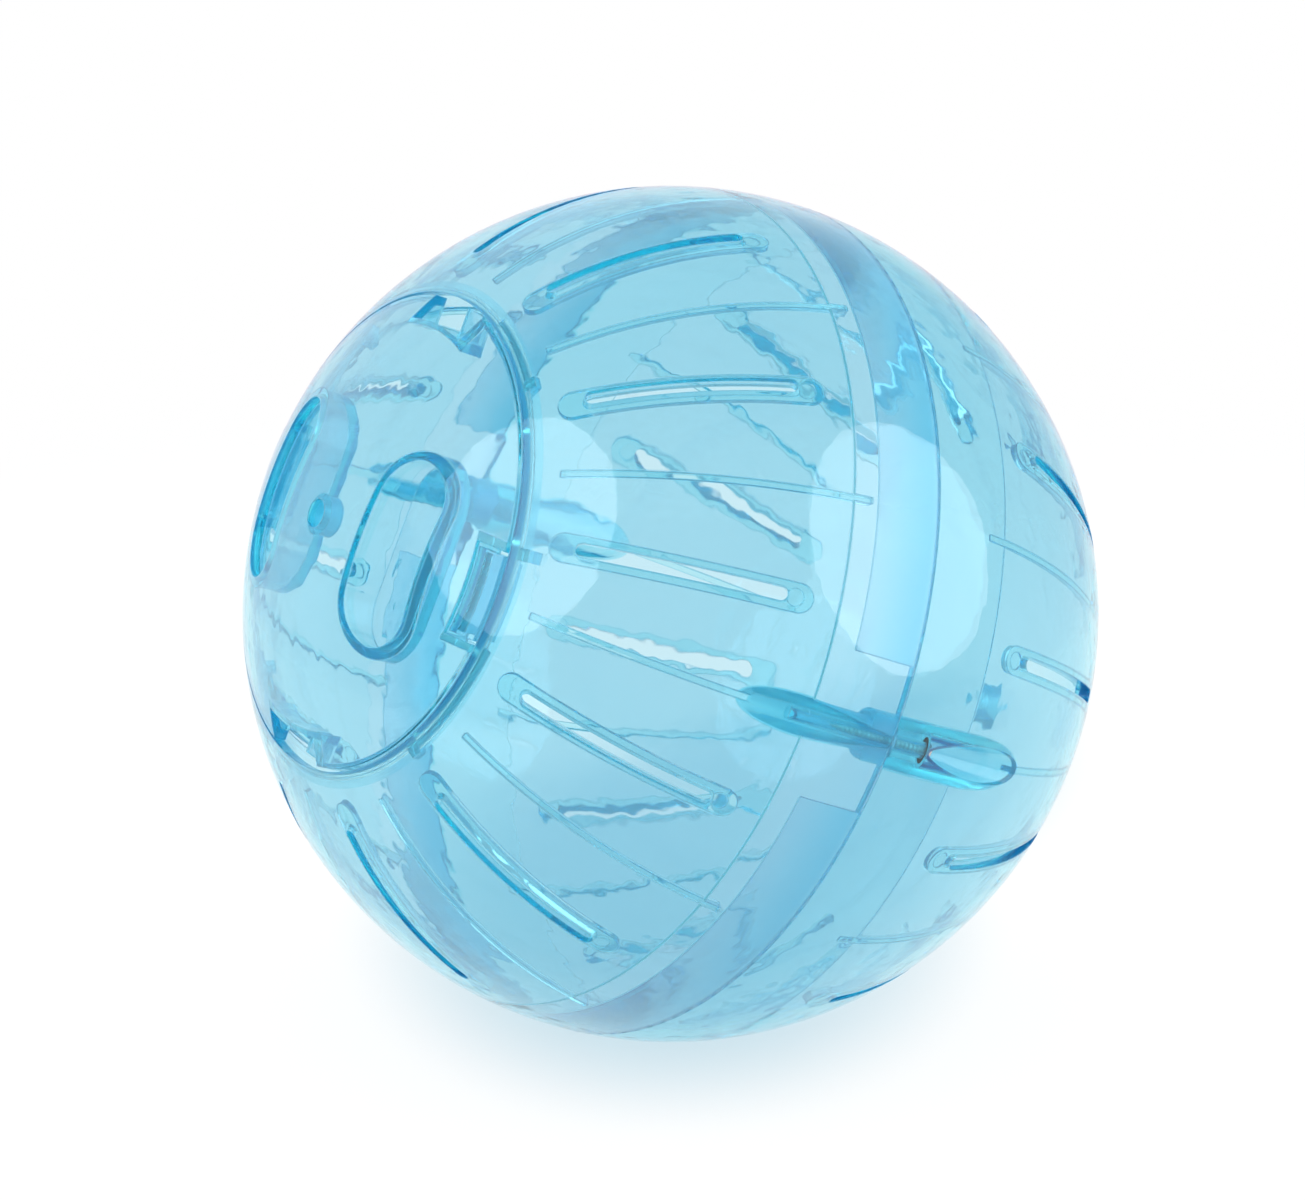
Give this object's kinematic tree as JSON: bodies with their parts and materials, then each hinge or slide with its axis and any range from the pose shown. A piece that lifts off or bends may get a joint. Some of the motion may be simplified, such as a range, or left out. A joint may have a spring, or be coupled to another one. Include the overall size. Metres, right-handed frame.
{
  "type": "hamster exercise ball",
  "caption": "Clear blue pet exercise ball: two lapped half shells with air slots, long side screws and a twist-lock door with finger pockets.",
  "frame": {"origin": "centre of the ball", "axes": "the door faces -Y along the axis through both poles, the seam lies in the XZ plane, and the two screws lie at +X and -X, parallel to Y"},
  "size_m": [0.18, 0.18, 0.18],
  "materials": {
    "clear_plastic": "clear tinted gloss",
    "screw_steel": "zinc-plated steel"
  },
  "bodies": {
    "ball": {"door_half_shell": "clear_plastic", "far_half_shell": "clear_plastic", "screw_right": "screw_steel", "screw_left": "screw_steel"},
    "door": {"door": "clear_plastic"}
  },
  "joints": [
    {"name": "door_twist", "type": "hinge", "parent": "ball", "child": "door", "pos_m": [0, 0, 0], "axis": [0, 1, 0], "range_deg": [0, 31]}
  ]
}
